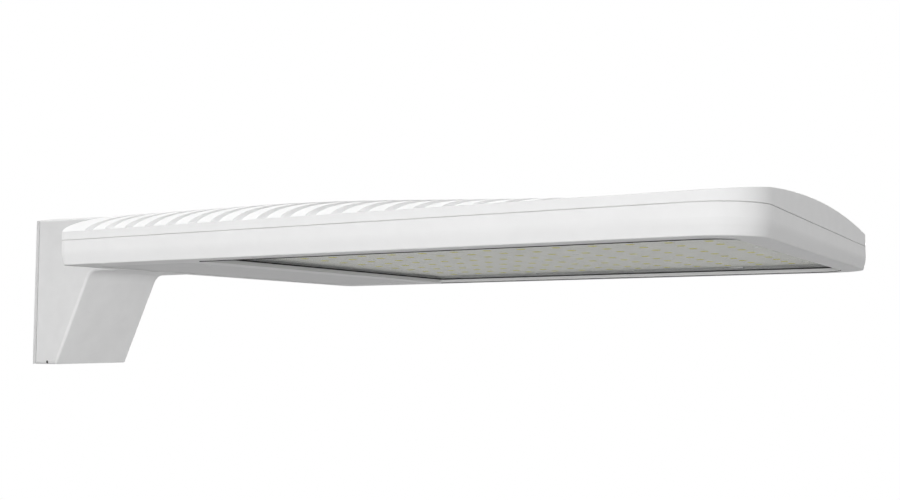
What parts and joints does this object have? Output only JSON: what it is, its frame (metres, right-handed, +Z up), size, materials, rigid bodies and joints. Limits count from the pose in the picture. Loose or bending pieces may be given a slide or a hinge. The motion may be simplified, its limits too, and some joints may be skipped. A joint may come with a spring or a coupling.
{
  "type": "area light",
  "caption": "Flat LED area light head on a strutted pole arm: arched roof with crosswise cooling fins, recessed clear lens over the LED field and a hinged driver door below.",
  "frame": {"origin": "middle of the face that lies on the pole, halfway between the two pole bolt holes", "axes": "+X along the arm from the pole to the nose, +Z up, the lens faces -Z"},
  "size_m": [0.8935, 0.48, 0.17],
  "materials": {
    "white_coat": "white powder coat on die-cast aluminium",
    "clear_glass": "clear, polished",
    "black_rubber": "matt silicone",
    "pale_rubber": "light grey foam",
    "white_nylon": "moulded",
    "steel": "zinc plated",
    "board_white": "white mask on an aluminium core",
    "led_yellow": "phosphor coated",
    "bare_aluminium": "mill finish",
    "driver_case": "grey coated case with potting",
    "dark_plastic": "moulded",
    "pale_plastic": "moulded"
  },
  "bodies": {
    "fixture": {"arm": "white_coat", "upper_housing": "white_coat", "lower_frame": "white_coat", "arm_seal": "black_rubber", "housing_seal": "black_rubber", "lens_gasket": "black_rubber", "pole_plate": "steel", "lock_screws": "steel", "arm_bolts": "steel", "frame_screws": "steel", "lens_clips": "steel", "clip_screws": "steel", "spreader_screws": "steel", "bracket_screws": "steel", "device_screws": "steel", "hinge_pins": "steel", "driver_bracket": "steel", "led_board_1": "board_white", "led_board_2": "board_white", "led_board_3": "board_white", "led_board_4": "board_white", "led_chips_1": "led_yellow", "led_chips_2": "led_yellow", "led_chips_3": "led_yellow", "led_chips_4": "led_yellow", "lens": "clear_glass", "pole_gasket": "pale_rubber", "board_screws": "white_nylon", "heat_spreader": "bare_aluminium", "driver": "driver_case", "surge_protector": "dark_plastic", "terminal_block": "pale_plastic"},
    "door": {"driver_door": "white_coat", "door_gasket": "black_rubber", "door_screws": "steel"}
  },
  "joints": [
    {"name": "driver_door_hinge", "type": "hinge", "parent": "fixture", "child": "door", "pos_m": [0.259, 0, 0.0156], "axis": [0, 1, 0], "range_deg": [0, 80]}
  ]
}
